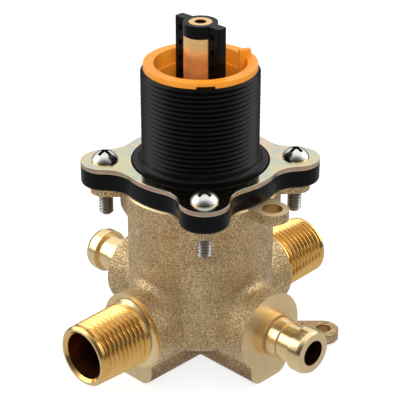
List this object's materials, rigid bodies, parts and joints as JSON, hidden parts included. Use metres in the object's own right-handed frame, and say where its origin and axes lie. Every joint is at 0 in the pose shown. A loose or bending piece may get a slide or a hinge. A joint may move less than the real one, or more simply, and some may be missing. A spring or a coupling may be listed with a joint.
{
  "type": "tub and shower rough-in valve",
  "caption": "Cast brass pressure balancing tub and shower valve body with barbed inlets, threaded sweat outlets, a black threaded bonnet, an orange limit ring and a turning stem.",
  "frame": {"origin": "centre of the base, on the stem axis, at the flat undersides of the feet", "axes": "+Z along the stem, away from the base; +X towards the cold inlet; +Y towards the shower outlet"},
  "size_m": [0.1028, 0.1088, 0.1189],
  "materials": {
    "cast_brass": "sand cast, speckled, machined at the ports",
    "stem_brass": "turned bright",
    "black_plastic": "satin moulding",
    "orange_plastic": "satin moulding",
    "plated_steel": "yellow zinc plated sheet",
    "screw_steel": "bright plated",
    "seal_rubber": "moulded",
    "cartridge_plastic": "moulded",
    "balance_steel": "ground",
    "disc_ceramic": "lapped"
  },
  "bodies": {
    "valve": {"valve_body": "cast_brass", "cold_inlet_seal": "seal_rubber", "hot_inlet_seal": "seal_rubber", "outlet_seal": "seal_rubber", "cartridge_housing": "cartridge_plastic", "housing_o_ring": "seal_rubber", "balance_sleeve": "balance_steel", "cold_sleeve_plug": "cartridge_plastic", "hot_sleeve_plug": "cartridge_plastic", "disc_gasket": "seal_rubber", "fixed_disc": "disc_ceramic", "thrust_washer": "cartridge_plastic", "cartridge_cap": "cartridge_plastic", "bonnet": "black_plastic", "retainer_plate": "plated_steel", "cover_screws": "screw_steel", "limit_ring": "orange_plastic"},
    "stem": {"stem_core": "stem_brass", "stem_wings": "black_plastic", "lower_stem_o_ring": "seal_rubber", "upper_stem_o_ring": "seal_rubber", "disc_carrier": "cartridge_plastic", "moving_disc": "disc_ceramic"},
    "spool": {"balance_spool": "balance_steel"}
  },
  "joints": [
    {"name": "stem_turn", "type": "hinge", "parent": "valve", "child": "stem", "pos_m": [0, 0, 0.09], "axis": [0, 0, 1], "range_deg": [0, 190]},
    {"name": "spool_slide", "type": "slide", "parent": "valve", "child": "spool", "axis": [1, 0, 0], "range_m": [-0.0015, 0.0015]}
  ]
}
